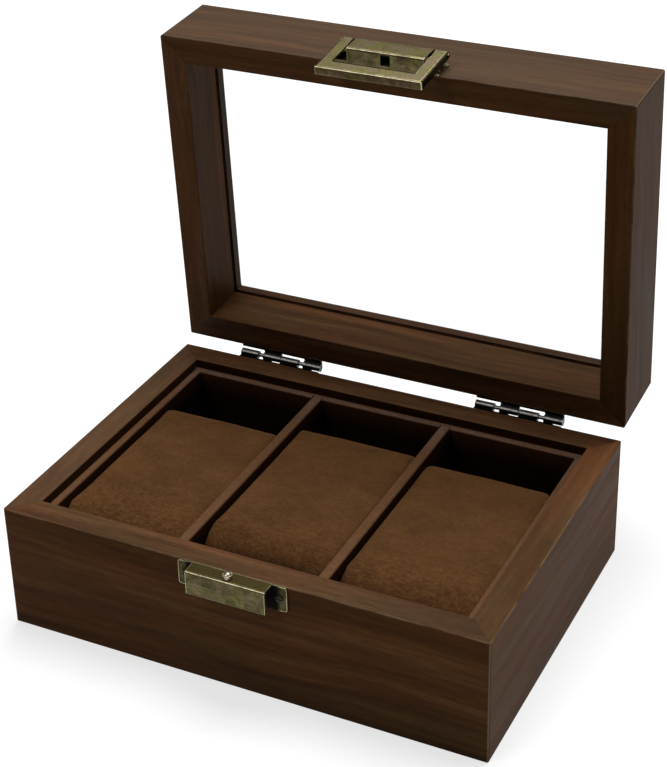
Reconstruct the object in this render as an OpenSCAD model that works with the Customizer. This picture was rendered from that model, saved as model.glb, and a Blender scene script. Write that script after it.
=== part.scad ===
// Watch box with three cushioned compartments, a glazed lid and a drop-frame latch.
// Millimetres, +Z up, +Y to the back. The origin is the middle of the underside.
// The lid is drawn open, leaning against the stops of its hinges.

/* [Case] */
// Outside width of the box
case_w = 200; // [170:1:300]
// Outside depth of the box, without hinges and latch
case_d = 142; // [134:1:190]
// Height of the lower case up to its rim
base_h = 52.8; // [51:0.1:70]
// Thickness of the wooden walls of case and lid
wall_t = 11; // [10:0.5:13]
// Radius of the four upright outer corners
corner_r = 1.2; // [0.6:0.1:3]
// Radius of the edges of rim, lid and underside
edge_r = 0.4; // [0.3:0.1:1]
// Thickness of the bottom panel
panel_t = 4; // [3:0.5:5]
// Width of the rabbet that takes the bottom panel
rabbet_w = 5; // [3:0.5:7]
// Thickness of the felt under the bottom panel
felt_t = 1; // [0.6:0.1:1.5]
// Play round the bottom panel and the felt
panel_gap = 0.2; // [0.1:0.05:0.5]

/* [Lid] */
// Height of the lid from its rim to its top
lid_h = 34.4; // [31:0.1:45]
// Gap between the rims of case and lid when closed
rim_gap = 0.4; // [0.2:0.1:0.6]
// Angle at which the open lid meets its stops
lid_open = 86.4; // [80:0.1:90]
// Distance from the lid's rim to the groove of its glass
groove_z = 22.2; // [18:0.1:24]
// Thickness of the glass
glass_t = 2; // [1.5:0.5:2.5]
// How far the glass reaches into its groove
glass_bite = 3.5; // [2:0.5:5]
// Play on each side of the glass in its groove
glass_gap = 0.2; // [0.1:0.05:0.3]
// How far the lip over the glass stands in from the lid's inner wall
lip_w = 0.5; // [0.2:0.1:3]
// Height of the inner face of that lip
lip_h = 4.1; // [3:0.1:5]
// Width of the bevel between the lip and the top of the lid
bevel_w = 5; // [4:0.5:5]
// Radius of the corners of the window
window_r = 1.2; // [0.8:0.1:4]

/* [Lining] */
// Thickness of the suede-covered lining boards
lining_t = 3.6; // [2.5:0.1:5]
// How far lining and dividers stay below the rim
lining_drop = 3.3; // [1:0.1:5]
// Thickness of the lining on the bottom
floor_lining_t = 2; // [1:0.5:2.5]
// Thickness of the dividers
divider_t = 4.4; // [3:0.1:6]
// Depth of the housings that hold the ends of the dividers
housing_d = 1.5; // [0.8:0.1:2]
// Play of a divider in its housing
housing_gap = 0.1; // [0.05:0.05:0.3]
// Radius along the top edges of lining and dividers
lining_r = 1; // [0.5:0.1:1.2]

/* [Cushions] */
// Length of a cushion from front to back
cushion_l = 85; // [60:1:90]
// Height of a cushion
cushion_h = 39; // [28:0.5:41]
// Gap between a cushion and the sides of its compartment
cushion_gap = 1.2; // [0.5:0.1:2]
// Gap under a cushion
cushion_seat = 0.3; // [0.2:0.1:0.5]
// Distance of the left cushion from the front lining
left_setback = 0.5; // [0.5:0.5:10]
// Distance of the middle cushion from the front lining
middle_setback = 7.5; // [0.5:0.5:10]
// Distance of the right cushion from the front lining
right_setback = 4; // [0.5:0.5:10]
// Radius over the front end of a cushion
nose_r = 12; // [6:1:14]
// Radius over the back end of a cushion
tail_r = 3; // [2:0.5:6]
// Radius of the upright corners of a cushion
cushion_corner_r = 3; // [2:0.5:8]

/* [Hinges] */
// Distance of the middle of each hinge from the side of the box
hinge_inset = 45; // [40:1:50]
// Length of a knuckle
knuckle_l = 8.2; // [6:0.1:9]
// Gap on the outer side of a pair of knuckles
wide_gap = 2.5; // [1.5:0.1:3]
// Gap between the two middle knuckles
close_gap = 0.4; // [0.2:0.1:0.8]
// Outer radius of the knuckles
knuckle_r = 1.6; // [1.5:0.1:2]
// Radius of the hinge pins
hinge_pin_r = 0.85; // [0.7:0.05:1]
// Distance of the hinge axis behind the back wall
axis_back = 3.5; // [3.4:0.1:5]
// Thickness of the hinge leaves
leaf_t = 1; // [0.8:0.05:1]
// Height of the hinge axis above the kerf of a leaf
kerf_drop = 4.6; // [4.2:0.1:6]
// Depth of the kerfs
kerf_d = 8; // [6:0.5:9]
// Play of a leaf in its kerf
kerf_gap = 0.1; // [0.05:0.05:0.2]
// Radial clearance of a pin in a part that turns on it
pin_play = 0.05; // [0.03:0.01:0.08]
// Radial clearance of a pin in a part that holds it
pin_hold = 0.01; // [0.01:0.01:0.02]
// Gap that is left at each stop
stop_gap = 0.03; // [0.02:0.01:0.1]
// Depth of the stop lugs under the leaves of the case
lug_t = 1; // [0.7:0.1:1.2]
// Overlap of a stop lug and the leaf that it meets
lug_lap = 2.5; // [1.5:0.5:4]

/* [Latch] */
// Thickness of the brass sheet
sheet_t = 0.8; // [0.6:0.1:1]
// Width of the catch and of the middle part of the bracket
catch_w = 32.5; // [26:0.5:40]
// Height of the front plate of the catch
catch_h = 10.3; // [8:0.1:12]
// How far catch and bracket stand out from the wall
catch_d = 6.4; // [6:0.1:8]
// Depth of the lip along the lower edge of the catch
catch_lip = 2.4; // [2:0.1:3]
// Height of the plates that lie on the wall
flange_h = 10.5; // [9:0.1:13]
// Outer radius of the bends in the sheet
bend_r = 1; // [0.9:0.1:1.5]
// Radius of the corners of plates and frame
plate_r = 1; // [0.9:0.1:2]
// Width of the arms of the frame
arm_w = 4.9; // [4:0.1:7]
// Height of the lower bar of the frame
bar_h = 5.3; // [3.5:0.1:6]
// Play between the frame and the catch between its arms
arm_play = 1.2; // [0.3:0.1:1.5]
// Play between the lower bar and the lip of the catch
bar_play = 0.4; // [0.3:0.1:0.8]
// Angle by which the resting frame leans in at its stop
frame_lean = 4; // [3:0.5:5]
// Gap between the leaning frame and the plates on the case
frame_gap = 0.45; // [0.3:0.05:0.8]
// Distance of the pivot of the frame from the rim of the lid
pivot_h = 9.2; // [8:0.1:11]
// Radius of the latch pin
latch_pin_r = 0.8; // [0.6:0.05:0.9]
// Radius of the head of the stud
stud_r = 1.8; // [1.2:0.05:2]
// Height of the stud above the catch
stud_h = 2.4; // [1:0.1:2.6]
// Radial play of the stud in its slot
stud_play = 0.3; // [0.3:0.05:0.6]
// Radius of the screw heads
screw_head_r = 1.6; // [1.2:0.1:1.8]
// Height of the screw heads
screw_head_h = 0.7; // [0.5:0.1:1]
// Radius of the screw shanks
screw_r = 0.8; // [0.6:0.05:1]
// Length of the screws in the wood
screw_l = 7; // [5:0.5:8]

/* [Hidden] */
$fn = 48;

WALNUT = [0.25, 0.17, 0.12];
SUEDE = [0.36, 0.24, 0.13];
LINING = [0.22, 0.14, 0.09];
FELT = [0.08, 0.07, 0.07];
GUNMETAL = [0.28, 0.27, 0.26];
ANTIQUE_BRASS = [0.42, 0.37, 0.22];
CLEAR = [0.8, 0.86, 0.86, 0.35];

// how far a cutter passes the faces that it cuts
CUT = 1;
// how deep two shapes of one piece run into each other
LAP = 0.2;

inner_w = case_w - 2 * wall_t;
inner_d = case_d - 2 * wall_t;
floor_z = felt_t + panel_t;
lining_floor_z = floor_z + floor_lining_t;
lining_top = base_h - lining_drop;
room_w = inner_w - 2 * lining_t;
room_d = inner_d - 2 * lining_t;
slot_w = (room_w - 2 * divider_t) / 3;
divider_x = (slot_w + divider_t) / 2;
cushion_w = slot_w - 2 * cushion_gap;

front_y = -case_d / 2;
axis_y = case_d / 2 + axis_back;
axis_z = base_h + rim_gap / 2;
lid_z = base_h + rim_gap;
groove_h = glass_t + 2 * glass_gap;
groove_d = glass_bite + glass_gap;
lip_z = groove_z + groove_h;
tallest = base_h + lid_h;
window_q = wall_t + lip_w;
bevel_h = lid_h - lip_z - lip_h;
bevel_slope = bevel_h / bevel_w;

hinge_x = case_w / 2 - hinge_inset;

pair_l = knuckle_l + wide_gap;
knuckle_2 = pair_l;
knuckle_3 = pair_l + knuckle_l + close_gap;
knuckle_4 = knuckle_3 + pair_l;
hinge_l = knuckle_4 + knuckle_l;
leaf_slack = 0.2;
// far and near side of a stop lug, measured forward from the hinge axis
lug_y = axis_back - leaf_t - leaf_slack;
lug_in = 0.6;

arm_x = catch_w / 2 + arm_play;
frame_x = arm_x + arm_w;
flange_x = frame_x;
roll_r = latch_pin_r + pin_play + sheet_t;
pivot_q = catch_d - roll_r;
bar_top = -rim_gap - catch_h - bar_play;
bar_bottom = bar_top - bar_h;
reach = pivot_h - bar_bottom;
fold_tip_q = pivot_q
    + (sheet_t + frame_gap - pivot_q + reach * sin(frame_lean)) / cos(frame_lean);
heel_z = 1;
heel_h = 3;
stud_q = catch_d - sheet_t - stud_play - stud_r;
screw_x = (catch_w / 2 + flange_x) / 2;
screw_z = flange_h / 2;
screw_slot = 0.4;
screw_bevel = 0.4;
pin_end = 0.5;

// ---- shared shapes ----

// rectangle with four round corners
module round_rect(x0, y0, x1, y1, r) {
    translate([x0 + r, y0]) square([x1 - x0 - 2 * r, y1 - y0]);
    translate([x0, y0 + r]) square([x1 - x0, y1 - y0 - 2 * r]);
    for (x = [x0 + r, x1 - r], y = [y0 + r, y1 - r])
        translate([x, y]) circle(r = r);
}

// draws a (y, z) profile along X, centred
module along_x(length) {
    translate([-length / 2, 0, 0]) rotate([90, 0, 90]) linear_extrude(length) children();
}

// draws a (q, z) profile along X, q being the distance out from the front wall
module on_front(length) {
    translate([0, front_y, 0]) along_x(length) mirror([1, 0]) children();
}

// one mitred side of a frame; its profile runs inwards from the outer face
module mitred_side(length, distance, turn) {
    inwards = window_q + window_r;
    out = length / 2 + CUT;
    rotate([0, 0, turn]) intersection() {
        translate([0, -distance, 0]) along_x(length) children();
        translate([0, 0, -CUT]) linear_extrude(tallest) intersection() {
            round_rect(-length / 2, -distance, length / 2, distance, corner_r);
            polygon([
                [-out, -distance - CUT],
                [out, -distance - CUT],
                [length / 2 - inwards, inwards - distance],
                [inwards - length / 2, inwards - distance]
            ]);
        }
    }
}

// takes the closed lid to its open position
module lid_placed() {
    translate([0, axis_y, axis_z]) rotate([-lid_open, 0, 0]) translate([0, -axis_y, -axis_z])
        children();
}

// ---- lower case ----

module case_profile() {
    difference() {
        round_rect(0, 0, wall_t, base_h, edge_r);
        translate([wall_t - rabbet_w, -CUT]) square([rabbet_w + CUT, floor_z + CUT]);
    }
}

// kerfs of both hinges in a back wall; side is -1 in the case and 1 in the lid
module kerfs(side) {
    z = side * (kerf_drop + leaf_t / 2) - leaf_t / 2 - kerf_gap;
    for (x = [-hinge_x, hinge_x])
        translate([
            x - hinge_l / 2 - kerf_gap, case_d / 2 - kerf_d - kerf_gap, axis_z + z
        ]) cube([hinge_l + 2 * kerf_gap, kerf_d + kerf_gap + CUT, leaf_t + 2 * kerf_gap]);
}

// holes of a pair of screws through plates and wood
module screw_holes(z) {
    for (x = [-screw_x, screw_x])
        translate([x, front_y - sheet_t - CUT, z]) rotate([-90, 0, 0])
            cylinder(r = screw_r + pin_hold, h = CUT + sheet_t + screw_l + LAP);
}

module base_front() {
    color(WALNUT) difference() {
        mitred_side(case_w, case_d / 2, 0) case_profile();
        screw_holes(base_h - screw_z);
    }
}

module base_back() {
    color(WALNUT) difference() {
        mitred_side(case_w, case_d / 2, 180) case_profile();
        kerfs(-1);
    }
}

module base_left() {
    color(WALNUT) mitred_side(case_d, case_w / 2, -90) case_profile();
}

module base_right() {
    color(WALNUT) mitred_side(case_d, case_w / 2, 90) case_profile();
}

module bottom_sheet(z, thickness) {
    w = inner_w + 2 * rabbet_w - 2 * panel_gap;
    d = inner_d + 2 * rabbet_w - 2 * panel_gap;
    translate([-w / 2, -d / 2, z]) cube([w, d, thickness]);
}

module bottom_panel() {
    color(WALNUT) bottom_sheet(felt_t, panel_t);
}

module bottom_felt() {
    color(FELT) bottom_sheet(0, felt_t);
}

// ---- lining and dividers ----

// a board on edge with round top edges
module board_profile(thickness, bottom, top) {
    translate([0, bottom]) square([thickness, top - bottom - lining_r]);
    translate([lining_r, bottom]) square([thickness - 2 * lining_r, top - bottom]);
    for (y = [lining_r, thickness - lining_r])
        translate([y, top - lining_r]) circle(r = lining_r);
}

// front lining, turned round for the back
module long_lining(turn) {
    w = divider_t + 2 * housing_gap;
    y = -room_d / 2 - housing_d - housing_gap;
    rotate([0, 0, turn]) difference() {
        translate([0, -inner_d / 2, 0])
            along_x(inner_w) board_profile(lining_t, floor_z, lining_top);
        for (x = [-divider_x, divider_x])
            translate([x - w / 2, y, lining_floor_z - housing_gap])
                cube([w, lining_t, base_h]);
    }
}

module lining_front() {
    color(LINING) long_lining(0);
}

module lining_back() {
    color(LINING) long_lining(180);
}

module side_lining(turn) {
    rotate([0, 0, turn]) translate([0, -inner_w / 2, 0])
        along_x(room_d) board_profile(lining_t, floor_z, lining_top);
}

module lining_left() {
    color(LINING) side_lining(-90);
}

module lining_right() {
    color(LINING) side_lining(90);
}

module lining_floor() {
    w = room_w - 2 * panel_gap;
    d = room_d - 2 * panel_gap;
    color(LINING) translate([-w / 2, -d / 2, floor_z]) cube([w, d, floor_lining_t]);
}

module divider(x) {
    translate([x, 0, 0]) rotate([0, 0, 90]) translate([0, -divider_t / 2, 0])
        along_x(room_d + 2 * housing_d) board_profile(divider_t, lining_floor_z, lining_top);
}

module divider_left() {
    color(LINING) divider(-divider_x);
}

module divider_right() {
    color(LINING) divider(divider_x);
}

// ---- cushions ----

// side view of a cushion, its front end at 0
module cushion_profile() {
    square([cushion_l, cushion_h - nose_r]);
    translate([nose_r, 0]) square([cushion_l - nose_r - tail_r, cushion_h]);
    translate([cushion_l / 2, 0]) square([cushion_l / 2, cushion_h - tail_r]);
    translate([nose_r, cushion_h - nose_r]) circle(r = nose_r);
    translate([cushion_l - tail_r, cushion_h - tail_r]) circle(r = tail_r);
}

module cushion(x, setback) {
    translate([x, setback - room_d / 2, lining_floor_z + cushion_seat]) intersection() {
        along_x(cushion_w) cushion_profile();
        linear_extrude(cushion_h)
            round_rect(-cushion_w / 2, 0, cushion_w / 2, cushion_l, cushion_corner_r);
    }
}

module cushion_left() {
    color(SUEDE) cushion(-slot_w - divider_t, left_setback);
}

module cushion_middle() {
    color(SUEDE) cushion(0, middle_setback);
}

module cushion_right() {
    color(SUEDE) cushion(slot_w + divider_t, right_setback);
}

// ---- hinges ----

// a knuckle from x onwards, the axis being the X axis
module knuckle(x, bore_r) {
    translate([x, 0, 0]) rotate([0, 90, 0]) difference() {
        cylinder(r = knuckle_r, h = knuckle_l);
        translate([0, 0, -CUT]) cylinder(r = bore_r, h = knuckle_l + 2 * CUT);
    }
}

// flat of a leaf that runs from a knuckle to the wall
module leaf_flat(x, bore_r) {
    difference() {
        translate([x, -axis_back, -knuckle_r]) cube([knuckle_l, axis_back, leaf_t]);
        translate([x - CUT, 0, 0]) rotate([0, 90, 0])
            cylinder(r = bore_r, h = knuckle_l + 2 * CUT);
    }
}

// the part of a leaf that lies on the wall and enters its kerf
module leaf_root() {
    low = -kerf_drop - leaf_t;
    translate([0, -axis_back, low]) cube([hinge_l, leaf_t, -knuckle_r + leaf_t - low]);
    translate([0, -axis_back - kerf_d, low]) cube([hinge_l, kerf_d + LAP, leaf_t]);
}

// leaf for two knuckles, below its axis
module leaf(x0, x1, bore_r) {
    leaf_root();
    for (x = [x0, x1]) {
        knuckle(x, bore_r);
        leaf_flat(x, bore_r);
    }
}

// moves a hinge part from the X axis to the back wall
module hinge_at(side) {
    translate([side * hinge_x - hinge_l / 2, axis_y, axis_z]) children();
}

module case_leaf(side) {
    hinge_at(side) leaf(0, knuckle_3, hinge_pin_r + pin_hold);
}

// lug of a lid knuckle under the flat of the case leaf before it, drawn in open position
module stop_lug(x) {
    bottom = -knuckle_r - stop_gap - lug_t;
    w = knuckle_l / 2;
    translate([x - wide_gap - lug_lap, -lug_y, bottom])
        cube([lug_lap + wide_gap + w, lug_y - lug_in, lug_t]);
    translate([x, -knuckle_r, bottom])
        cube([w, knuckle_r - lug_in, lug_t + knuckle_r / 2]);
}

module lid_leaf(side) {
    lid_placed() hinge_at(side) mirror([0, 0, 1])
        leaf(knuckle_2, knuckle_4, hinge_pin_r + pin_play);
    hinge_at(side)
        for (x = [knuckle_2, knuckle_4])
            stop_lug(x);
}

module hinge_left_case_leaf() {
    color(GUNMETAL) case_leaf(-1);
}

module hinge_right_case_leaf() {
    color(GUNMETAL) case_leaf(1);
}

module hinge_left_lid_leaf() {
    color(GUNMETAL) lid_leaf(-1);
}

module hinge_right_lid_leaf() {
    color(GUNMETAL) lid_leaf(1);
}

module hinge_pin(side) {
    hinge_at(side) rotate([0, 90, 0]) cylinder(r = hinge_pin_r, h = hinge_l);
}

module hinge_left_pin() {
    color(GUNMETAL) hinge_pin(-1);
}

module hinge_right_pin() {
    color(GUNMETAL) hinge_pin(1);
}

// ---- lid ----

module lid_profile() {
    difference() {
        union() {
            round_rect(0, 0, wall_t, lid_h, edge_r);
            translate([wall_t / 2, lip_z])
                square([window_q + window_r - wall_t / 2, lid_h - edge_r - lip_z]);
        }
        polygon([
            [window_q - bevel_w - CUT / bevel_slope, lid_h + CUT],
            [window_q + window_r + CUT, lip_z + lip_h - (window_r + CUT) * bevel_slope],
            [window_q + window_r + CUT, lid_h + CUT]
        ]);
        translate([wall_t - groove_d, groove_z]) square([groove_d + CUT, groove_h]);
    }
}

module lid_side(length, distance, turn) {
    x = length / 2 - window_q;
    y = distance - window_q;
    translate([0, 0, lid_z]) difference() {
        mitred_side(length, distance, turn) lid_profile();
        rotate([0, 0, turn]) translate([0, 0, lip_z - CUT])
            linear_extrude(lid_h) round_rect(-x, -y, x, y, window_r);
    }
}

module lid_front() {
    color(WALNUT) lid_placed() difference() {
        lid_side(case_w, case_d / 2, 0);
        screw_holes(lid_z + screw_z);
    }
}

module lid_back() {
    color(WALNUT) lid_placed() difference() {
        lid_side(case_w, case_d / 2, 180);
        kerfs(1);
    }
}

module lid_left() {
    color(WALNUT) lid_placed() lid_side(case_d, case_w / 2, -90);
}

module lid_right() {
    color(WALNUT) lid_placed() lid_side(case_d, case_w / 2, 90);
}

module glass_pane() {
    w = inner_w + 2 * glass_bite;
    d = inner_d + 2 * glass_bite;
    color(CLEAR) lid_placed() translate([-w / 2, -d / 2, lid_z + groove_z + glass_gap])
        cube([w, d, glass_t]);
}

// ---- latch: catch on the case ----

// quarter of a bend in the sheet, opened by turns of 90 degrees
module elbow(q, z, turns) {
    translate([q, z]) rotate(90 * turns) intersection() {
        square(bend_r);
        difference() {
            circle(r = bend_r);
            circle(r = bend_r - sheet_t);
        }
    }
}

// plate along the rim and front plate, hanging from height 0
module channel_profile(height) {
    translate([0, -sheet_t]) square([catch_d - bend_r, sheet_t]);
    elbow(catch_d - bend_r, -bend_r, 0);
    translate([catch_d - sheet_t, -height]) square([sheet_t, height - bend_r]);
}

module catch_profile() {
    channel_profile(catch_h - bend_r);
    elbow(catch_d - bend_r, bend_r - catch_h, 3);
    translate([catch_d - catch_lip, -catch_h]) square([catch_lip - bend_r, sheet_t]);
}

// plate on the wall, hanging from height 0
module flange_plate() {
    translate([0, front_y, 0]) rotate([90, 0, 0]) linear_extrude(sheet_t)
        round_rect(-flange_x, -flange_h, flange_x, 0, plate_r);
}

module catch() {
    color(ANTIQUE_BRASS) difference() {
        translate([0, 0, base_h]) {
            flange_plate();
            on_front(catch_w) catch_profile();
        }
        screw_holes(base_h - screw_z);
        translate([0, front_y - stud_q, base_h - CUT])
            cylinder(r = stud_r / 2 + pin_hold, h = 2 * CUT);
    }
}

module catch_stud() {
    color(ANTIQUE_BRASS) translate([0, front_y - stud_q, base_h]) rotate_extrude() {
        square([stud_r, stud_h - stud_r / 2]);
        intersection() {
            square([stud_r, stud_h]);
            translate([0, stud_h - stud_r]) circle(r = stud_r);
        }
        translate([0, -sheet_t]) square([stud_r / 2, sheet_t + LAP]);
    }
}

// a pair of slotted screws on plates at a height
module screw_pair(z) {
    for (x = [-screw_x, screw_x])
        translate([x, front_y - sheet_t, z]) rotate([90, 0, 0]) difference() {
            union() {
                cylinder(r = screw_head_r, h = screw_head_h / 2);
                cylinder(r1 = screw_head_r, r2 = screw_head_r - screw_bevel, h = screw_head_h);
                translate([0, 0, -sheet_t - screw_l]) cylinder(r = screw_r, h = screw_l + sheet_t);
            }
            translate([-screw_head_r - CUT, -screw_slot / 2, screw_head_h / 2])
                cube([2 * screw_head_r + 2 * CUT, screw_slot, screw_head_h]);
        }
}

module catch_screws() {
    color(ANTIQUE_BRASS) screw_pair(base_h - screw_z);
}

// ---- latch: bracket and frame on the lid ----

// puts a part from the rim of the closed lid upwards in its place on the open lid
module on_lid() {
    lid_placed() translate([0, 0, lid_z]) children();
}

module roll_profile() {
    translate([pivot_q, pivot_h]) difference() {
        circle(r = roll_r);
        circle(r = latch_pin_r + pin_play);
    }
}

module latch_bracket() {
    slot_r = stud_r + stud_play;
    color(ANTIQUE_BRASS) on_lid() difference() {
        union() {
            mirror([0, 0, 1]) flange_plate();
            on_front(catch_w) {
                mirror([0, 1]) channel_profile(pivot_h);
                roll_profile();
            }
        }
        screw_holes(screw_z);
        translate([-slot_r, front_y - catch_d + sheet_t, -CUT])
            cube([2 * slot_r, catch_d - 2 * sheet_t, CUT + bend_r]);
        translate([0, front_y - pivot_q, pivot_h]) rotate([0, 90, 0])
            cylinder(r = latch_pin_r + pin_play, h = catch_w + 2 * CUT, center = true);
    }
}

module latch_screws() {
    color(ANTIQUE_BRASS) on_lid() screw_pair(screw_z);
}

module latch_pin() {
    color(ANTIQUE_BRASS) on_lid() translate([0, front_y - pivot_q, pivot_h])
        rotate([0, 90, 0]) cylinder(r = latch_pin_r, h = 2 * (frame_x + pin_end), center = true);
}

// leans the frame in about its pivot
module leaning() {
    translate([0, front_y - pivot_q, pivot_h]) rotate([frame_lean, 0, 0])
        translate([0, pivot_q - front_y, -pivot_h]) children();
}

// side view of the upright frame, or of the space within its folds
module frame_side(in) {
    q = fold_tip_q - in;
    r = bend_r - in;
    z = bar_bottom + in + r;
    translate([q, z]) square([catch_d - in - q, pivot_h + in - z]);
    translate([q, bar_bottom + in]) square([catch_d - in - r - q, bend_r]);
    translate([catch_d - bend_r, z]) circle(r = r);
}

// block with round front edges that the frame is folded round
module frame_block(in) {
    x = frame_x - in;
    top = pivot_h + roll_r + CUT;
    intersection() {
        union() {
            on_front(2 * frame_x) frame_side(in);
            on_front(2 * frame_x) translate([pivot_q, pivot_h]) circle(r = roll_r + in);
        }
        translate([0, front_y + CUT, 0]) rotate([90, 0, 0]) linear_extrude(catch_d + 2 * CUT)
            round_rect(-x, bar_bottom + in, x, top + plate_r, plate_r - in);
        translate([0, front_y, bar_bottom]) linear_extrude(top - bar_bottom)
            round_rect(-x, in - catch_d, x, bend_r + CUT, bend_r - in);
    }
}

// the cut that narrows the side folds to ears round the pin
module ear_relief() {
    on_front(2 * frame_x + 2 * CUT) polygon([
        [-CUT, heel_z + heel_h],
        [fold_tip_q, heel_z + heel_h],
        [pivot_q - roll_r, pivot_h],
        [pivot_q - roll_r, pivot_h + 2 * roll_r],
        [-CUT, pivot_h + 2 * roll_r]
    ]);
}

module frame_sheet() {
    difference() {
        frame_block(0);
        frame_block(sheet_t);
        ear_relief();
        translate([-arm_x, front_y - catch_d - CUT, bar_top])
            cube([2 * arm_x, catch_d, reach]);
        translate([0, front_y - pivot_q, pivot_h]) rotate([0, 90, 0])
            cylinder(r = latch_pin_r + pin_hold, h = 2 * frame_x + 2 * CUT, center = true);
    }
}

module latch_frame() {
    color(ANTIQUE_BRASS) on_lid() {
        leaning() frame_sheet();
        for (x = [-frame_x, frame_x - sheet_t])
            translate([x, front_y - pivot_q, heel_z])
                cube([sheet_t, pivot_q - sheet_t - stop_gap, heel_h]);
    }
}

base_front();
base_back();
base_left();
base_right();
bottom_panel();
bottom_felt();
lining_front();
lining_back();
lining_left();
lining_right();
lining_floor();
divider_left();
divider_right();
cushion_left();
cushion_middle();
cushion_right();
hinge_left_case_leaf();
hinge_right_case_leaf();
hinge_left_lid_leaf();
hinge_right_lid_leaf();
hinge_left_pin();
hinge_right_pin();
lid_front();
lid_back();
lid_left();
lid_right();
glass_pane();
catch();
catch_stud();
catch_screws();
latch_bracket();
latch_screws();
latch_pin();
latch_frame();
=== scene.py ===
import functools
import math

import bpy
from mathutils import Matrix, Vector, noise


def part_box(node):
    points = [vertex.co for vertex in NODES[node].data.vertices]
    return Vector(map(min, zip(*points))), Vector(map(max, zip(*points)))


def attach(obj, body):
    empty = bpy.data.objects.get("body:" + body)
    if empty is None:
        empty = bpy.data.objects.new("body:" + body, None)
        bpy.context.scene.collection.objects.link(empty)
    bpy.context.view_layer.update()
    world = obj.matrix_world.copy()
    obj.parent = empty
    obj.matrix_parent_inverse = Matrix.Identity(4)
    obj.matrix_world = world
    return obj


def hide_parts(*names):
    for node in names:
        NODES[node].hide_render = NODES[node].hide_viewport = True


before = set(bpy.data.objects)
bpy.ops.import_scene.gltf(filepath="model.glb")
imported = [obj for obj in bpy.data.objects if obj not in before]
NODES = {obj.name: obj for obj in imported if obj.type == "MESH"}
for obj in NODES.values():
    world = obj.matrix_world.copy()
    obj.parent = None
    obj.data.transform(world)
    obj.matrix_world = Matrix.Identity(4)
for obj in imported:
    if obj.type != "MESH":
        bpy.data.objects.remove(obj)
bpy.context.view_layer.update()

MM = 0.001

# sizes of the part that the materials are laid out by, in metres
CASE_W, CASE_D, CASE_H, WALL = 200 * MM, 142 * MM, 52.8 * MM, 11 * MM
LID_H, RIM_GAP, LID_OPEN = 34.4 * MM, 0.4 * MM, math.radians(86.4)
LID_FOOT = CASE_H + RIM_GAP
LIP_LOW = LID_FOOT + 24.6 * MM
LINING_TOP = CASE_H - 3.3 * MM
CATCH_HALF = 16.25 * MM
AXIS = Vector((0, CASE_D / 2 + 3.5 * MM, CASE_H + RIM_GAP / 2))

bpy.context.scene.view_settings.view_transform = "Standard"


# ---- camera ----

camera = bpy.data.objects.new("camera", bpy.data.cameras.new("camera"))
bpy.context.scene.collection.objects.link(camera)
bpy.context.scene.camera = camera
camera.data.lens = 87.65
camera.data.sensor_width = 36
# the photo is cropped: its optical axis passes above its middle
camera.data.shift_y = -0.1089
target = Vector((-35.12, 86.68, 80.54)) * MM
azimuth, elevation, roll = math.radians(26.523), math.radians(27.717), math.radians(-1.424)
distance = 0.8
back = Vector((
    math.sin(azimuth) * math.cos(elevation),
    -math.cos(azimuth) * math.cos(elevation),
    math.sin(elevation),
))
camera.location = target + back * distance
camera.rotation_mode = "QUATERNION"
turned = (-back).to_track_quat("-Z", "Y").to_matrix() @ Matrix.Rotation(roll, 3, "Z")
camera.rotation_quaternion = turned.to_quaternion()
camera.data.clip_start, camera.data.clip_end = 0.01, 50


# ---- node graphs ----

# a Mix node's sockets for colours, which share their names with its other sockets
MIX_FACTOR, MIX_A, MIX_B, MIX_RESULT = 0, 6, 7, 2


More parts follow.
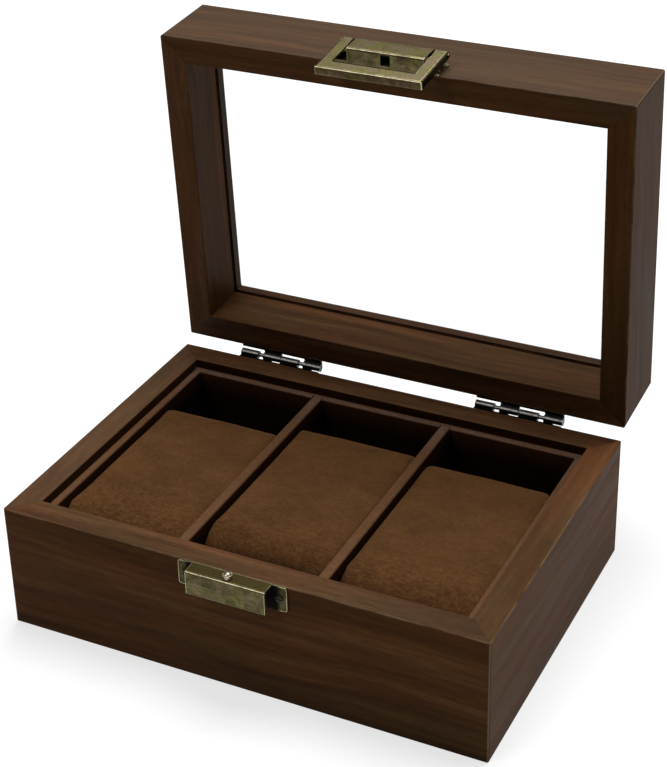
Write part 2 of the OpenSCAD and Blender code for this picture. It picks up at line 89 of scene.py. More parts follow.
class Graph:
    """A material's or the world's nodes, and short calls that add to them."""

    def __init__(self, name=None, tree=None):
        if tree is None:
            self.material = bpy.data.materials.new(name)
            self.material.use_nodes = True
            tree = self.material.node_tree
            self.bsdf = tree.nodes["Principled BSDF"]
        self.tree = tree

    def add(self, kind, inputs=None, out=0, **settings):
        """Adds a node and returns one of its outputs."""
        node = self.tree.nodes.new("ShaderNode" + kind)
        for key, value in settings.items():
            setattr(node, key, value)
        for key, value in (inputs or {}).items():
            self.put(node.inputs[key], value)
        return node.outputs[out]

    def put(self, socket, value):
        """Links an output to a socket, or sets the socket's own value. Colours are opaque triples."""
        if isinstance(value, bpy.types.NodeSocket):
            self.tree.links.new(value, socket)
        elif socket.type == "RGBA":
            socket.default_value = (*value, 1)
        else:
            socket.default_value = value

    def shade(self, **inputs):
        """Sets the shader's inputs, named with _ for each space, and returns the material."""
        for key, value in inputs.items():
            self.put(self.bsdf.inputs[key.replace("_", " ")], value)
        return self.material

    # numbers

    def math(self, operation, *values, clamp=False):
        return self.add("Math", dict(enumerate(values)), operation=operation, use_clamp=clamp)

    def chain(self, operation, values):
        return functools.reduce(lambda a, b: self.math(operation, a, b), values)

    def plus(self, *values):
        return self.chain("ADD", values)

    def minus(self, a, b, clamp=False):
        return self.math("SUBTRACT", a, b, clamp=clamp)

    def times(self, *values):
        return self.chain("MULTIPLY", values)

    def largest(self, *values):
        return self.chain("MAXIMUM", values)

    def absolute(self, value):
        return self.math("ABSOLUTE", value)

    def weighted(self, *terms):
        """The sum of each value times its weight."""
        return self.plus(*[self.times(value, weight) for value, weight in terms])

    def step(self, value, low, high, to_low=0.0, to_high=1.0):
        """Smoothly from to_low, where value is low or less, to to_high, where it is high or more."""
        return self.add("MapRange", {0: value, 1: low, 2: high, 3: to_low, 4: to_high},
                        interpolation_type="SMOOTHSTEP")

    def fall(self, value, low, high):
        return self.step(value, low, high, 1.0, 0.0)

    # vectors

    def here(self):
        """A point's place in its object's own space, which is the part's space at rest."""
        return self.add("TexCoord", out="Object")

    def split(self, vector):
        node = self.tree.nodes.new("ShaderNodeSeparateXYZ")
        self.put(node.inputs[0], vector)
        return tuple(node.outputs)

    def joined(self, x, y, z):
        return self.add("CombineXYZ", {0: x, 1: y, 2: z})

    def placed(self, vector, scale=(1, 1, 1), shift=(0, 0, 0), turn=(0, 0, 0)):
        return self.add("Mapping", {"Vector": vector, "Location": shift, "Rotation": turn,
                                    "Scale": scale})

    def vector(self, operation, *values, out="Vector"):
        return self.add("VectorMath", dict(enumerate(values)), out=out, operation=operation)

    def dot(self, a, b):
        return self.vector("DOT_PRODUCT", a, b, out="Value")

    def length(self, vector):
        return self.vector("LENGTH", vector, out="Value")

    # colours and textures

    def grey(self, value):
        return self.add("CombineColor", {0: value, 1: value, 2: value})

    def mix(self, factor, a, b, blend="MIX"):
        return self.add("Mix", {MIX_FACTOR: factor, MIX_A: a, MIX_B: b}, out=MIX_RESULT,
                        data_type="RGBA", blend_type=blend)

    def tinted(self, colour, tint):
        return self.mix(1.0, colour, tint, blend="MULTIPLY")

    def ramp(self, value, stops):
        node = self.tree.nodes.new("ShaderNodeValToRGB")
        self.put(node.inputs[0], value)
        elements = node.color_ramp.elements
        while len(elements) < len(stops):
            elements.new(0.5)
        for element, (place, colour) in zip(elements, stops):
            element.position = place
            element.color = (*colour, 1)
        return node.outputs[0]

    def noise(self, vector, scale, detail=2.0, rough=0.5, distort=0.0, shift=(0, 0, 0),
              turn=(0, 0, 0)):
        """Noise at one scale, or at a scale for each axis after a shift and a turn."""
        if isinstance(scale, tuple):
            vector, scale = self.placed(vector, scale, shift, turn), 1.0
        return self.add("TexNoise", {"Vector": vector, "Scale": scale, "Detail": detail,
                                     "Roughness": rough, "Distortion": distort})

    def bump(self, height, distance, strength):
        return self.add("Bump", {"Height": height, "Distance": distance, "Strength": strength})


def toned(colour, share):
    """A colour times a share of its tone."""
    return tuple(c * share for c in colour)


def paint(node, material):
    """Gives a CAD node a material through its object's own slots."""
    for slot in NODES[node].material_slots:
        slot.link = "OBJECT"
        slot.material = material


def closed_coordinates(g, lid):
    """Places in the closed box, also for pieces of the open lid."""
    if not lid:
        return g.here()
    opened = Matrix.Rotation(LID_OPEN, 3, "X")
    return g.placed(g.here(), shift=tuple(AXIS - opened @ AXIS), turn=(LID_OPEN, 0, 0))


def facing(g):
    """The direction a face looks in at rest, wherever its piece has been moved or turned."""
    return g.add("VectorTransform", {0: g.add("NewGeometry", out="True Normal")}, vector_type="NORMAL",
                 convert_from="WORLD", convert_to="OBJECT")


def closed_normal(g, lid):
    """The X, Y and Z of a face's direction in the closed box."""
    direction = facing(g)
    if lid:
        direction = g.add("VectorRotate", {"Vector": direction, "Angle": LID_OPEN},
                          rotation_type="X_AXIS")
    return g.split(direction)


# ---- walnut ----

WALNUT = (
    (0.36, (0.040, 0.0160, 0.0057)),
    (0.46, (0.066, 0.0275, 0.0095)),
    (0.54, (0.090, 0.0390, 0.0137)),
    (0.64, (0.128, 0.0590, 0.0225)),
)
PLAIN_WALNUT = (0.082, 0.0345, 0.0120)
HUES = ((0.36, (1.07, 0.96, 0.92)), (0.64, (0.94, 1.04, 1.04)))
PORE, MITRE_LINE = (0.022, 0.010, 0.0045), (0.012, 0.006, 0.003)
# in turn: a painted grey sheen, painted shade on the case's inner faces and painted shade on the lid's
# lip
SHEEN_GREY, INSIDE_SHADE, LIP_SHADE = (0.34, 0.30, 0.25), (0.014, 0.0035, 0.0010), (0.35, 0.36, 0.41)
# pale wood on the outer edges, wear and a painted highlight, and a painted highlight on the upright
# corners
WORN_AND_LIT_EDGE, CORNER_HIGHLIGHT = (0.20, 0.135, 0.080), (0.30, 0.24, 0.16)
# boards of the case along X, from foot to rim: darker at the foot with painted shade, and redder below
# the rim
FOOT_SHADE_AND_RIM_TINT = (
    (0.0, (0.80, 0.80, 0.84)),
    (0.55, (1.0, 1.0, 1.0)),
    (0.80, (0.97, 0.95, 0.88)),
    (1.0, (0.88, 0.80, 0.58)),
)
# streaks wander up and down by up to half of WAVE, and short marks also rise by SLANT along the grain
WAVE, SLANT = 9 * MM, 0.07
# a face looks along an axis from the first share of its direction on, and fully from the second
MOSTLY = (0.5, 0.7)


def veneer(g, place, along, seed, tone, soft):
    """Sliced walnut: its colour, its relief and its roughness."""
    x, y, z = g.split(place)
    grain, across = (x, y) if along == "X" else (y, x)
    lift = g.times(g.minus(g.noise(place, (12, 12, 12), shift=(seed * 3.1, seed, 0)), 0.5), WAVE)
    board = g.joined(grain, across, g.plus(z, lift))
    slanted = g.joined(grain, across, g.plus(z, g.times(grain, SLANT), lift))
    # the noises' scales are waves per metre along the grain, across it and up
    figure = g.noise(board, (7, 100, 150), 2.0, 0.6, 0.3, shift=(seed * 1.7, seed * 2.3, seed))
    streak = g.noise(board, (16, 290, 340), 3.0, 0.62, shift=(seed, seed * 1.3, 0))
    tick = g.noise(slanted, (120, 1000, 1050), 3.0, 0.6, shift=(seed, 0, seed))
    fibre = g.noise(board, (60, 2600, 2600), shift=(0, seed, 0))
    pores = g.step(g.noise(slanted, (190, 2300, 2900), 1.0, shift=(seed, 0, seed)), 0.60, 0.72)
    value = g.weighted((figure, 0.40), (streak, 0.36), (tick, 0.18), (fibre, 0.10))
    colour = g.ramp(value, [(stop, toned(shade, tone)) for stop, shade in WALNUT])
    colour = g.mix(soft, colour, toned(PLAIN_WALNUT, tone))
    colour = g.mix(g.times(pores, 0.40 - 0.2 * soft), colour, PORE)
    colour = g.tinted(colour, g.ramp(g.noise(board, (14, 80, 120), shift=(seed, 0, seed * 2)), HUES))
    relief = g.weighted((streak, 0.5), (pores, -0.7), (fibre, 0.35))
    return colour, relief, g.step(streak, 0.3, 0.7, 0.40, 0.52)


def painted_rim_light_and_sheen(g, colour, place, along, lid, rim, sheen_share):
    """Painted light on the rims, where case and lid meet, and painted sheen on what looks up when
    open.
    """
    x, y, z = g.split(place)
    _, ny, nz = closed_normal(g, lid)
    grain, half = (x, CASE_W / 2) if along == "X" else (y, CASE_D / 2)
    on_rim = g.step(g.times(nz, -1.0) if lid else nz, *MOSTLY)
    # painted light along the rim, from one share of tone at one end of the board to another at the
    # other end
    rim_colour = g.tinted(colour, g.grey(g.step(grain, -0.2 * half, half, *rim)))
    # painted shade at the foot of the case's boards along X, which are also redder below the rim
    if along == "X" and not lid:
        colour = g.tinted(colour, g.ramp(g.math("DIVIDE", z, CASE_H), FOOT_SHADE_AND_RIM_TINT))
    colour = g.mix(on_rim, colour, rim_colour)
    # a painted grey sheen on what looks up in the open box
    looks_up = g.step(g.times(ny, -1.0), *MOSTLY) if lid else on_rim
    return g.mix(g.times(looks_up, sheen_share), colour, SHEEN_GREY)


def mitre_and_painted_shade(g, colour, place, lid, inside_shade):
    """The thin glue line of the mitres, and painted shade on the case's inner faces and on the lid's
    lip.
    """
    x, y, z = g.split(place)
    off_x, off_y = g.absolute(x), g.absolute(y)
    off_mitre = g.absolute(g.minus(g.minus(off_x, off_y), (CASE_W - CASE_D) / 2))
    seam = g.fall(off_mitre, 0.1 * MM, 0.35 * MM)
    colour = g.mix(g.times(seam, 0.3), colour, MITRE_LINE)
    within = g.times(*[
        g.fall(off, half - WALL + 0.1 * MM, half - WALL + 0.3 * MM)
        for off, half in ((off_x, CASE_W / 2), (off_y, CASE_D / 2))
    ])
    # painted shade: the lid's lip in the lid, the inner faces in the case
    if lid:
        lip = g.times(within, g.step(z, LIP_LOW - 0.3 * MM, LIP_LOW))
        return g.mix(lip, colour, g.tinted(colour, LIP_SHADE))
    return g.mix(g.times(within, inside_shade), colour, INSIDE_SHADE)


def worn_and_lit_edges(g, colour, place, lid, tone):
    """Paler wood: wear and painted highlight in patches on outer edges, painted highlight at upright
    corners.
    """
    x, y, z = g.split(place)
    foot, top = (LID_FOOT, LID_FOOT + LID_H) if lid else (0.0, CASE_H)
    depths = [g.minus(CASE_W / 2, g.absolute(x)), g.minus(CASE_D / 2, g.absolute(y)),
              g.minus(z, foot), g.minus(top, z)]
    near = [g.fall(depth, 0.15 * MM, 0.8 * MM) for depth in depths]
    # where two faces meet, a point is near both
    edge = g.minus(g.plus(*near), 1.0, clamp=True)
    patches = g.step(g.noise(place, (70, 70, 70)), 0.35, 0.65)
    colour = g.mix(g.times(edge, patches, 0.55), colour, toned(WORN_AND_LIT_EDGE, tone))
    return g.mix(g.times(near[0], near[1], 0.9), colour, toned(CORNER_HIGHLIGHT, tone))


def walnut(name, along, lid=False, seed=0.0, tone=1.0, gloss=0.03, rim=(1.0, 1.0), sheen_share=0.0,
           soft=0.0, inside_shade=0.82):
    """Walnut veneer on one board, with its grain along "X" or "Y".

    tone is painted light: how bright the board shows for how light falls on it. rim is the share of
    tone at the two ends of the board's rim, also painted light, haze how much painted grey sheen lies
    on it, soft how far its figure fades and inside how dark the painted shade on its inner face is.
    """
    g = Graph(name)
    place = closed_coordinates(g, lid)
    colour, relief, rough = veneer(g, place, along, seed, tone, soft)
    colour = painted_rim_light_and_sheen(g, colour, place, along, lid, rim, sheen_share)
    colour = mitre_and_painted_shade(g, colour, place, lid, inside_shade)
    colour = worn_and_lit_edges(g, colour, place, lid, tone)
    return g.shade(Base_Color=colour, Roughness=rough, Normal=g.bump(relief, 0.06 * MM, 0.6),
                   Specular_IOR_Level=gloss)


# each board is cut from another place in the veneer, SEED_STEP on from the last one
FIRST_SEED, SEED_STEP, PANEL_SEED = 0.4, 1.37, 13.1
# painted light: the boards are lit and shaded copies of one walnut, each one's tone, rim and sheen set
# for how light falls on it
BOARDS = {
    "base_front": dict(along="X", tone=1.02, rim=(1.22, 0.68), sheen_share=0.036),
    "base_back": dict(along="X", tone=1.05, rim=(1.50, 1.42), sheen_share=0.045, inside_shade=0.85),
    "base_left": dict(along="Y", tone=1.05, rim=(1.12, 1.20), sheen_share=0.075, inside_shade=0.58),
    "base_right": dict(along="Y", tone=1.38, rim=(0.70, 1.75), sheen_share=0.032, soft=0.35, gloss=0.02),
    "lid_front": dict(along="X", tone=0.90, rim=(1.02, 0.76), sheen_share=0.110, soft=0.2),
    "lid_back": dict(along="X", tone=1.70, rim=(0.35, 0.35), gloss=0.09),
    "lid_left": dict(along="Y", tone=1.36, rim=(0.67, 0.60), sheen_share=0.045, gloss=0.04),
    "lid_right": dict(along="Y", tone=0.90, rim=(1.10, 0.48), sheen_share=0.050, soft=0.35, gloss=0.02),
}
for i, (node, look) in enumerate(BOARDS.items()):
    seed = i * SEED_STEP + FIRST_SEED
    paint(node, walnut("walnut_" + node, lid=node.startswith("lid"), seed=seed, **look))
paint("bottom_panel", walnut("walnut_bottom_panel", "X", seed=PANEL_SEED, tone=1.6))


# ---- suede and felt ----

def nap(g):
    """The two finest noises of suede: its fibres, and the tufts they lie in."""
    here = g.here()
    return g.noise(here, 2600, 3.0, 0.65), g.noise(here, 700, 2.0, 0.6)


# the nap is ruffled, and the pad darker with painted shade, before the first Y, and less and less up
# to the second
RUFFLED_AND_SHADED = (-50 * MM, -5 * MM)
RUFFLED_NAP_AND_SHADE = ((0.38, (0.50, 0.43, 0.38)), (0.64, (1.18, 1.15, 1.12)))
# the cushions' back edges look halfway between back and up, and carry a painted highlight
BACK_EDGE, BACK_EDGE_HIGHLIGHT = Vector((0, 1, 1)).normalized(), (1.7, 1.75, 1.9)
NAP_SPREAD = 0.42


def cushion_suede(name, colour):
    """Short-napped suede: fine fibres, and soft patches where the nap lies the other way."""
    g = Graph(name)
    here = g.here()
    fine, tuft = nap(g)
    stroke = g.noise(here, (55, 90, 55), 4.0, 0.6, 0.6)
    value = g.weighted((fine, 0.40), (tuft, 0.26), (stroke, 0.34))
    tone = g.ramp(value, [(0.32, toned(colour, 1 - NAP_SPREAD)), (0.50, colour),
                          (0.68, toned(colour, 1 + NAP_SPREAD))])
    ruffled = g.noise(here, (420, 760, 760), 3.0, 0.7, 1.2)
    # painted shade towards the front, mixed with the ruffled nap
    front = g.fall(g.split(here)[1], *RUFFLED_AND_SHADED)
    tone = g.mix(g.times(front, 0.75), tone, g.tinted(tone, g.ramp(ruffled, RUFFLED_NAP_AND_SHADE)))
    # a painted highlight along the back edges
    back_highlight = g.step(g.dot(facing(g), BACK_EDGE), 0.86, 0.97, 0.0, 0.6)
    tone = g.mix(back_highlight, tone, tuple(c * share for c, share in zip(colour, BACK_EDGE_HIGHLIGHT)))
    relief = g.weighted((fine, 0.6), (tuft, 0.6), (g.times(ruffled, front), 0.8))
    return g.shade(Base_Color=tone, Roughness=0.95, Specular_IOR_Level=0.08,
                   Sheen_Weight=0.12, Sheen_Roughness=0.45, Sheen_Tint=(0.75, 0.50, 0.30),
                   Normal=g.bump(relief, 0.22 * MM, 0.7))


CUSHION = cushion_suede("suede_cushion", (0.111, 0.0500, 0.0168))

# the sides in painted shade and the lit tops: two copies of one suede
SHADED_LINING = ((0.34, (0.024, 0.0080, 0.0026)), (0.66, (0.048, 0.0165, 0.0056)))
LIT_TOP_LINING = ((0.34, (0.105, 0.0500, 0.0230)), (0.66, (0.172, 0.0880, 0.0430)))
# the top is paler and less brown towards the back of the box
BACK_SHADES = ((0.0, (1.0, 1.0, 1.0)), (1.0, (1.25, 1.40, 1.9)))


def lining_suede(name):
    """Suede wrapped round boards: lit paler along the top, in painted shade down in the compartments.
    """
    g = Graph(name)
    _, y, level = g.split(g.here())
    fine, tuft = nap(g)
    value = g.weighted((fine, 0.6), (tuft, 0.4))
    lit_top = g.tinted(g.ramp(value, LIT_TOP_LINING), g.ramp(g.step(y, 30 * MM, 55 * MM), BACK_SHADES))
    # painted shade, darker deeper down in the compartments
    deeper_shade = g.step(level, LINING_TOP - 11 * MM, LINING_TOP, 0.25, 1.1)
    dark = g.tinted(g.ramp(value, SHADED_LINING), g.grey(deeper_shade))
    looks_up = g.step(g.split(facing(g))[2], 0.25, 0.85)
    on_top = g.step(level, LINING_TOP - 1.6 * MM, LINING_TOP - 0.3 * MM)
    relief = g.weighted((fine, 0.6), (tuft, 0.6))
    return g.shade(Base_Color=g.mix(g.times(looks_up, on_top), dark, lit_top), Roughness=0.95,
                   Specular_IOR_Level=0.06, Normal=g.bump(relief, 0.2 * MM, 0.6))


LINING = lining_suede("suede_lining")
for node in ("lining_front", "lining_back", "lining_left", "lining_right", "lining_floor",
             "divider_left", "divider_right"):
    paint(node, LINING)


def felt(name):
    """Black felt with a few greyer fibres."""
    g = Graph(name)
    fibre = g.noise(g.here(), 1500, 4.0, 0.7, 1.5)
    tone = g.ramp(fibre, [(0.3, (0.008, 0.008, 0.009)), (0.7, (0.030, 0.029, 0.030))])
    return g.shade(Base_Color=tone, Roughness=1.0, Specular_IOR_Level=0.1, Sheen_Weight=0.15,
                   Normal=g.bump(fibre, 0.3 * MM, 0.8))


paint("bottom_felt", felt("felt"))


# ---- metals and glass ----

PATINA_TINTS = ((0.40, (1.05, 0.98, 1.08)), (0.60, (0.93, 1.00, 0.72)))
# a near black for painted shade where little light reaches, and the darker tone of the catch's flanges
RECESS_SHADE, FLANGE_SHADE = (0.004, 0.003, 0.002), (0.42, 0.38, 0.36)
# a face is square to an axis from the first share of its direction on, and fully from the second
SQUARE = (0.9, 0.98)
# the radius that finds bends and cut edges, and how far off a thing can be that casts painted shade
BEVEL, SHADE_REACH = 0.55 * MM, 12 * MM
# a Y between the front faces of the catch's flanges, which lie on the case, and of its channel
FLANGE_FACE = -CASE_D / 2 - 1.6 * MM


def patina(g, here, dark, mid, bright):
    """Aged sheet metal: its colour, how light each place of it is, and its scratches."""
    blotches = g.noise(here, 210, 5.0, 0.70, 0.8)
    spots = g.noise(here, 1500, 3.0, 0.6)
    scratches = g.noise(here, (60, 1500, 1500), 3.0, 0.6)
    crossing = g.noise(here, (1300, 160, 420), 2.0, 0.6, turn=(0, 0.5, 0))
    value = g.weighted((blotches, 0.52), (scratches, 0.24), (spots, 0.12), (crossing, 0.12))
    tone = g.ramp(value, [(0.38, dark), (0.50, mid), (0.62, bright)])
    return g.tinted(tone, g.ramp(g.noise(here, 130), PATINA_TINTS)), value, scratches


def worn_and_lit_places(g, across, lid, ends):
    """1 on bends and cut edges, for wear and a painted highlight. across is how far a face looks along
    each axis of the closed box.
    """
    true_normal = g.add("NewGeometry", out="True Normal")
    bend = g.dot(g.add("Bevel", {"Radius": BEVEL}, samples=6), true_normal)
    # bends also look between the directions of the flat sheets
    worn_and_lit = g.largest(g.fall(bend, 0.92, 0.995), g.fall(g.largest(*across), 0.76, 0.87))
    if lid:
        # but hardly on the faces that look down in the closed box
        worn_and_lit = g.times(worn_and_lit, g.step(across[2], *SQUARE, 1.0, 0.25))
    if ends:
        worn_and_lit = g.largest(worn_and_lit, g.step(across[0], *SQUARE))
    return worn_and_lit


def catch_flanges(g, here, across, tone, recess_shade):
    """Darker flanges beside the catch's channel, with black painted shade next to its open ends."""
    x, y, _ = g.split(here)
    off_x = g.absolute(x)
    on_flange = g.step(off_x, CATCH_HALF, CATCH_HALF + 0.05 * MM)
    low = g.times(g.step(across[1], *SQUARE), g.step(y, FLANGE_FACE - 0.2 * MM, FLANGE_FACE))
    by_the_end = g.fall(off_x, CATCH_HALF + 1.6 * MM, CATCH_HALF + 3.8 * MM)
    return (g.mix(g.times(on_flange, 0.75), tone, g.tinted(tone, FLANGE_SHADE)),
            g.largest(recess_shade, g.times(low, by_the_end)))


def metal(name, dark, mid, bright, edge, rough, lid=False, ends=False, shares=((1, 1, 1),) * 3):
    """Aged sheet metal: patina and scratches, with wear and a painted highlight on bends and cut
    edges, and painted shade where little light reaches.

    ends gives the faces across X wear and a painted highlight too, and shares are the tone of the
    faces across X, Y and Z of the closed box, a painted light for how light falls on each.
    """
    g = Graph(name)
    here = closed_coordinates(g, lid)
    across = [g.absolute(part) for part in closed_normal(g, lid)]
    tone, value, scratches = patina(g, here, dark, mid, bright)
    # painted light: each face's tone by the axis it looks along in the closed box
    for axis, share in zip(across, shares):
        tone = g.mix(g.step(axis, *SQUARE), tone, g.tinted(tone, share))
    # painted shade, near black and less metallic, where little light reaches
    open_sky = g.add("AmbientOcclusion", {"Distance": SHADE_REACH}, out="AO", samples=8)
    recess_shade = g.fall(open_sky, 0.30, 0.85)
    if ends and not lid:
        tone, recess_shade = catch_flanges(g, here, across, tone, recess_shade)
    unshaded = g.minus(1.0, recess_shade)
    patches = g.step(g.noise(here, 900, 2.0, 0.6), 0.30, 0.62, 0.55, 1.0)
    # bends and cut edges: wear and a painted highlight
    tone = g.mix(g.times(worn_and_lit_places(g, across, lid, ends), patches, unshaded), tone, edge)
    tone = g.mix(g.times(recess_shade, 0.97), tone, RECESS_SHADE)
    roughness = g.plus(g.step(value, 0.36, 0.64, rough + 0.10, rough - 0.08), g.times(recess_shade, 0.35))
    return g.shade(Base_Color=tone, Metallic=unshaded, Roughness=roughness, Specular_IOR_Level=0.05,
                   Normal=g.bump(scratches, 0.02 * MM, 0.5))


# edge is the colour of bends and cut edges: wear and a painted highlight
BRASS = dict(dark=(0.060, 0.052, 0.028), mid=(0.125, 0.108, 0.055), bright=(0.210, 0.185, 0.105),
             edge=(0.56, 0.50, 0.32), rough=0.34)
SCREW = dict(dark=(0.010, 0.009, 0.007), mid=(0.024, 0.021, 0.015), bright=(0.050, 0.044, 0.030),
             edge=(0.10, 0.088, 0.060), rough=0.40)
STUD = dict(dark=(0.20, 0.155, 0.110), mid=(0.46, 0.375, 0.280), bright=(0.60, 0.50, 0.39),
            edge=(0.60, 0.50, 0.38), rough=0.36)
# each face's share of tone by the axis it looks along: painted light for how light falls on it
CATCH_SHARES = ((1, 1, 1), (0.68, 0.66, 0.58), (0.78, 0.70, 0.50))
BRACKET_SHARES = ((1, 1, 1), (2.8, 2.65, 2.7), (0.60, 0.57, 0.50))
FRAME_SHARES = ((0.35, 0.32, 0.30), (2.6, 2.5, 2.6), (0.50, 0.42, 0.40))
paint("catch", metal("brass_case", **BRASS, ends=True, shares=CATCH_SHARES))
paint("latch_bracket", metal("brass_lid", **BRASS, lid=True, ends=True, shares=BRACKET_SHARES))
frame_brass = metal("brass_frame", **BRASS, lid=True, shares=FRAME_SHARES)
for node in ("latch_pin", "latch_frame"):
    paint(node, frame_brass)
paint("catch_stud", metal("brass_stud", **STUD))
paint("catch_screws", metal("brass_case_screws", **SCREW))
paint("latch_screws", metal("brass_lid_screws", **SCREW, lid=True))

GUNMETAL = (
    (0.36, (0.006, 0.006, 0.006)),
    (0.52, (0.014, 0.0135, 0.013)),
    (0.66, (0.045, 0.043, 0.041)),
)
# the hinges' barrels, which end within BARREL of the lid's axis, carry a painted highlight on top
BARREL = 1.8 * MM
BARREL_HIGHLIGHT, HIGHLIGHT_SIDE = (0.27, 0.26, 0.24), Vector((0, -0.35, 0.94)).normalized()


def gunmetal(name):
    """Blackened steel, with a painted highlight along the top of the barrels."""
    g = Graph(name)
    here = g.here()
    spots = g.noise(here, 1300, 4.0, 0.65)
    off_axis = g.length(g.vector("MULTIPLY", g.vector("SUBTRACT", here, AXIS), (0, 1, 1)))
    highlight = g.times(g.step(g.dot(facing(g), HIGHLIGHT_SIDE), 0.50, 0.80),
                     g.fall(off_axis, BARREL - 0.1 * MM, BARREL))
    patches = g.step(spots, 0.30, 0.55, 0.5, 0.95)
    tone = g.mix(g.times(highlight, patches), g.ramp(spots, GUNMETAL), BARREL_HIGHLIGHT)
    roughness = g.plus(g.step(spots, 0.3, 0.7, 0.32, 0.20), g.times(highlight, 0.14))
    return g.shade(Base_Color=tone, Metallic=1.0, Roughness=roughness,
                   Normal=g.bump(spots, 0.01 * MM, 0.5))


black_steel = gunmetal("gunmetal")
for node in NODES:
    if node.startswith("hinge"):
        paint(node, black_steel)


def glass(name):
    """Clear glass, a little smeared."""
    g = Graph(name)
    smear = g.noise(g.here(), (14, 14, 14), 4.0, 0.6, 1.0)
    return g.shade(Base_Color=(0.975, 0.99, 0.985), Roughness=g.step(smear, 0.35, 0.8, 0.0, 0.03),
                   IOR=1.48, Transmission_Weight=1.0)


paint("glass_pane", glass("glass"))


# ---- cushions ----

CUSHIONS = ("cushion_left", "cushion_middle", "cushion_right")
NET = 1.6 * MM
# a pad starts this much wider than its CAD cushion, longer at the back and higher
PLUMPER = Vector((1.4, 1.3, 0.9)) * MM
PLUMPER_LEFT = Vector((1.4, 0.3, 0.9)) * MM
# and may stand this far past it: at each side, at the back and on top, and at the front
ROOM, FRONT_ROOM = Vector((0.9, 1.6, 1.6)) * MM, 0.3 * MM
LAST_FRAME, MOST_SWELL = 20, 0.4 * MM
# the top part of a pad is crowned, and wanders up and down by up to WANDER, in WAVES per metre
TOP_PART, CROWN, WANDER, WAVES, SEED_SCALE = 12 * MM, 0.5 * MM, 0.25 * MM, 60, 90


def evaluated(ob):
    """A new mesh of an object as its modifiers shape it."""
    graph = bpy.context.evaluated_depsgraph_get()
    return bpy.data.meshes.new_from_object(ob.evaluated_get(graph))


def pad_start(node):
    """A plumper copy of the CAD cushion, as an even net of small quads."""
    lo, hi = (Vector(corner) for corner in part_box(node))
    mesh = NODES[node].data.copy()
    mesh.materials.clear()
    ob = bpy.data.objects.new("pad_" + node, mesh)
    bpy.context.scene.collection.objects.link(ob)
    middle = Vector(((lo.x + hi.x) / 2, lo.y, lo.z))
    size = hi - lo
    more = PLUMPER_LEFT if node == "cushion_left" else PLUMPER
    scale = Matrix.Diagonal([(size[k] + more[k]) / size[k] for k in range(3)])
    for v in mesh.vertices:
        v.co = middle + scale @ (v.co - middle)
    remesh = ob.modifiers.new("remesh", "REMESH")
    remesh.mode = "VOXEL"
    remesh.voxel_size = NET
    ob.data = evaluated(ob)
    ob.modifiers.clear()
    return ob, lo, hi


def inflate(obs):
    """Blows the pads up a little with a cloth simulation and keeps the result."""
    scene = bpy.context.scene
    for ob in obs:
        cloth = ob.modifiers.new("cloth", "CLOTH")
        cloth.settings.use_pressure = True
        cloth.settings.uniform_pressure_force = 4
        cloth.settings.quality = 5
        cloth.settings.effector_weights.gravity = 0
        cloth.settings.mass = 0.12
        cloth.point_cache.frame_start, cloth.point_cache.frame_end = 1, LAST_FRAME
    for number in range(1, LAST_FRAME + 1):
        scene.frame_set(number)
    for ob in obs:
        blown = evaluated(ob)
        ob.modifiers.clear()
        for v, w in zip(ob.data.vertices, blown.vertices):
            move = w.co - v.co
            if move.length > MOST_SWELL:
                move *= MOST_SWELL / move.length
            v.co += move
        bpy.data.meshes.remove(blown)
    scene.frame_set(1)


def finish_pad(ob, lo, hi):
    """Keeps a pad off its neighbours and flat below, crowns it, and lets its nap wander a little."""
    middle, half = (lo.x + hi.x) / 2, (hi.x - lo.x) / 2
    top_part = hi.z - TOP_PART
    elsewhere = Vector((lo.x * SEED_SCALE, 0, 0))
    for v in ob.data.vertices:
        p = v.co
        wander = noise.noise(p * WAVES + elsewhere) * WANDER
        crown = CROWN * max(0.0, 1 - ((p.x - middle) / half) ** 2)
        if p.z > top_part:
            p.z += (crown + wander) * min(1.0, (p.z - top_part) / TOP_PART)
        p.x = min(max(p.x, lo.x - ROOM.x), hi.x + ROOM.x)
        p.y = min(max(p.y, lo.y - FRONT_ROOM), hi.y + ROOM.y)
        p.z = min(max(p.z, lo.z), hi.z + ROOM.z)
    for polygon in ob.data.polygons:
        polygon.use_smooth = True
    subdivision = ob.modifiers.new("subdivision", "SUBSURF")
    subdivision.levels = subdivision.render_levels = 1


pads = [pad_start(node) for node in CUSHIONS]
inflate([ob for ob, lo, hi in pads])
for node, (ob, lo, hi) in zip(CUSHIONS, pads):
    finish_pad(ob, lo, hi)
    ob.data.materials.append(CUSHION)
    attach(ob, node)
    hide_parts(node)


# ---- stage ----

# the sky stays Blender's dark grey, and lights the object at this share of its strength
SKY = 0.45
WHITE = (1, 1, 1)
FLOOR_REACH, FLOOR_DROP = 6.0, 0.02 * MM


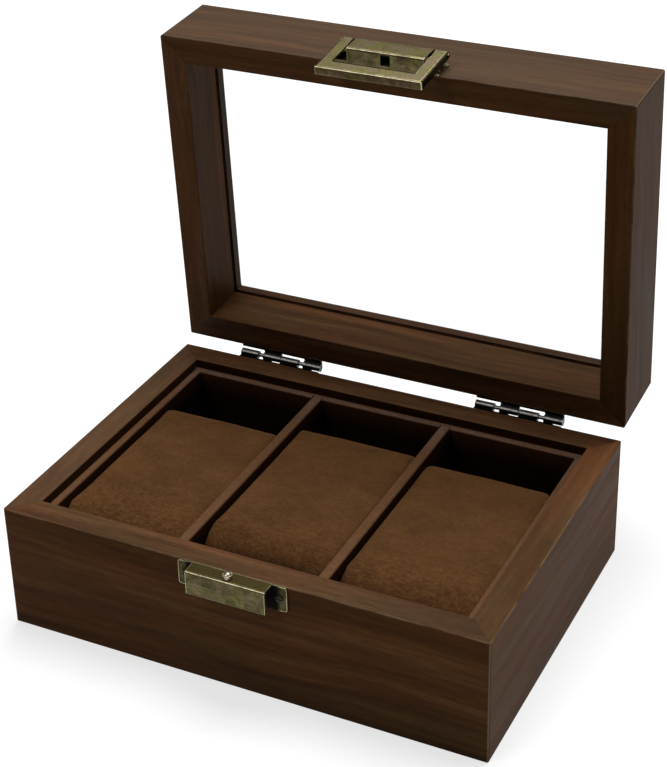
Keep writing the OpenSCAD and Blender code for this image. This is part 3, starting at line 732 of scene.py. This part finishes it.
def looks(g):
    """1 for what the camera sees, directly, in gloss or through glass."""
    path = g.tree.nodes.new("ShaderNodeLightPath")
    return g.largest(*(path.outputs[ray] for ray in
                       ("Is Camera Ray", "Is Transmission Ray", "Is Glossy Ray")))


world = bpy.data.worlds.new("world")
bpy.context.scene.world = world
world.use_nodes = True
g = Graph(tree=world.node_tree)
g.put(world.node_tree.nodes["Background"].inputs["Strength"],
      g.plus(g.times(looks(g), 1 - SKY), SKY))


def floor_paint():
    """A pale floor that shows white and keeps the object's shadow."""
    g = Graph("floor")
    here, seen = g.here(), looks(g)
    pale = g.step(g.noise(here, 3.0), 0.0, 1.0, 0.60, 0.62)
    # far off, where less lamplight falls, it glows a little more
    glow = g.step(g.length(here), 0.3, 1.6, 0.66, 0.80)
    return g.shade(Base_Color=g.grey(g.minus(pale, g.times(seen, 0.12))), Roughness=1.0,
                   Specular_IOR_Level=0.0, Emission_Color=WHITE, Emission_Strength=g.times(seen, glow))


mesh = bpy.data.meshes.new("floor")
corners = [(x * FLOOR_REACH, y * FLOOR_REACH, 0) for x, y in ((-1, -1), (1, -1), (1, 1), (-1, 1))]
mesh.from_pydata(corners, [], [(0, 1, 2, 3)])
mesh.materials.append(floor_paint())
floor = bpy.data.objects.new("floor", mesh)
bpy.context.scene.collection.objects.link(floor)
floor.location.z = -FLOOR_DROP


def softbox(name, place, size, power, aim=(0, 0.02, 0.08)):
    """A square lamp, size metres wide and power watts strong, that looks at aim."""
    light = bpy.data.lights.new(name, "AREA")
    light.shape = "SQUARE"
    light.size = size
    light.energy = power
    ob = bpy.data.objects.new(name, light)
    bpy.context.scene.collection.objects.link(ob)
    ob.location = place
    ob.rotation_mode = "QUATERNION"
    ob.rotation_quaternion = (Vector(aim) - Vector(place)).to_track_quat("-Z", "Y")


softbox("key", (0.0, 0.75, 2.2), 1.5, 50.0)
softbox("fill", (-0.7, -1.1, 1.6), 0.9, 9.0)
softbox("side", (1.1, -0.1, 0.7), 0.8, 1.0)
